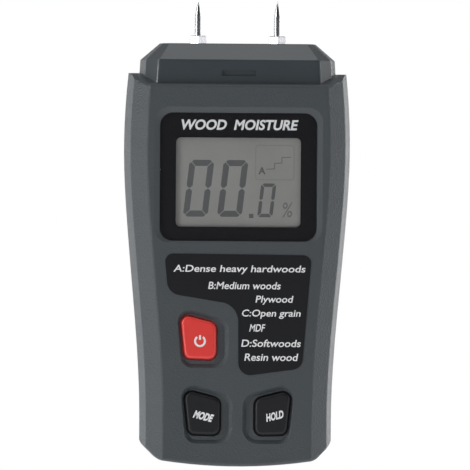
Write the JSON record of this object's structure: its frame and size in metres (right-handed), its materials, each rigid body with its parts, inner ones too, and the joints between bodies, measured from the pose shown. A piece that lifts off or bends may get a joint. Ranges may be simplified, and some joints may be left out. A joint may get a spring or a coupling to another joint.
{
  "type": "moisture meter",
  "caption": "Hand-held pin moisture meter: tapered grey housing, digital display, red and black keys, sliding battery door and sharp steel electrode pins on the head.",
  "frame": {"origin": "under the middle of the whole box, at the lowest point of the lower end", "axes": "+Z along the meter towards the electrode pins, display and keys face -Y, +X to the right as the display is read"},
  "size_m": [0.065, 0.0256, 0.1337],
  "materials": {
    "housing": "finely textured moulded plastic, dark blue-grey",
    "foam": "soft black foam",
    "screw_steel": "zinc plated",
    "lens": "clear polished acrylic with a black printed border",
    "label": "black printed film, satin",
    "film": "grey-green polarising film",
    "display_glass": "thin display glass",
    "reflector": "grey-green reflective film",
    "frame_plastic": "black moulded plastic",
    "elastomer": "striped silicone",
    "board": "green solder mask over glass fibre",
    "chip": "black moulded epoxy",
    "resistor": "black glaze",
    "capacitor": "tan ceramic",
    "plated": "plated can",
    "can_sleeve": "dark blue sleeve",
    "spring_steel": "nickel plated spring steel",
    "key_red": "satin red",
    "key_black": "satin black",
    "plunger": "black moulded plastic",
    "switch_metal": "steel cover",
    "pin_steel": "polished plated steel",
    "nut_brass": "plain brass",
    "lead_white": "white insulation",
    "lead_red": "red insulation",
    "lead_black": "black insulation",
    "cell_jacket": "plain printed jacket"
  },
  "bodies": {
    "housing": {"amplifier_chip": "chip", "board_screws": "screw_steel", "chip_capacitors": "capacitor", "chip_resistors": "resistor", "controller_chip": "chip", "crystal": "plated", "display_frame": "frame_plastic", "display_front_film": "film", "display_front_glass": "display_glass", "display_lens": "lens", "display_rear_glass": "display_glass", "display_reflector": "reflector", "front_shell": "housing", "hold_switch": "switch_metal", "housing_screws": "screw_steel", "left_battery_lead": "lead_red", "left_cell": "cell_jacket", "left_electrode_lead": "lead_white", "left_pin": "pin_steel", "left_post": "pin_steel", "left_solder_tag": "nut_brass", "left_spring": "spring_steel", "left_stud_nut": "nut_brass", "left_top_contact": "spring_steel", "link_contact": "spring_steel", "main_board": "board", "mode_switch": "switch_metal", "power_switch": "switch_metal", "rear_shell": "housing", "right_battery_lead": "lead_black", "right_cell": "cell_jacket", "right_electrode_lead": "lead_white", "right_pin": "pin_steel", "right_post": "pin_steel", "right_solder_tag": "nut_brass", "right_spring": "spring_steel", "right_stud_nut": "nut_brass", "right_top_contact": "spring_steel", "species_label": "label", "supply_capacitor": "can_sleeve", "zebra_strip": "elastomer"},
    "battery_door": {"battery_door": "housing", "door_pad": "foam"},
    "power_key": {"power_button": "key_red"},
    "power_switch_plunger": {"power_plunger": "plunger"},
    "mode_key": {"mode_button": "key_black"},
    "mode_switch_plunger": {"mode_plunger": "plunger"},
    "hold_key": {"hold_button": "key_black"},
    "hold_switch_plunger": {"hold_plunger": "plunger"}
  },
  "joints": [
    {"name": "battery_door_slide", "type": "slide", "parent": "housing", "child": "battery_door", "axis": [0, 0, -1], "range_m": [0, 0.064]},
    {"name": "power_press", "type": "slide", "parent": "housing", "child": "power_key", "axis": [0, 1, 0], "range_m": [0, 0.0005], "stiffness_N_per_m": 3000},
    {"name": "power_plunger_slide", "type": "slide", "parent": "housing", "child": "power_switch_plunger", "axis": [0, 1, 0], "range_m": [0, 0.0005]},
    {"name": "mode_press", "type": "slide", "parent": "housing", "child": "mode_key", "axis": [0, 1, 0], "range_m": [0, 0.0005], "stiffness_N_per_m": 3000},
    {"name": "mode_plunger_slide", "type": "slide", "parent": "housing", "child": "mode_switch_plunger", "axis": [0, 1, 0], "range_m": [0, 0.0005]},
    {"name": "hold_press", "type": "slide", "parent": "housing", "child": "hold_key", "axis": [0, 1, 0], "range_m": [0, 0.0005], "stiffness_N_per_m": 3000},
    {"name": "hold_plunger_slide", "type": "slide", "parent": "housing", "child": "hold_switch_plunger", "axis": [0, 1, 0], "range_m": [0, 0.0005]}
  ],
  "couplings": [
    {"joint": "power_plunger_slide", "follows": "power_press", "ratio": 1},
    {"joint": "mode_plunger_slide", "follows": "mode_press", "ratio": 1},
    {"joint": "hold_plunger_slide", "follows": "hold_press", "ratio": 1}
  ]
}
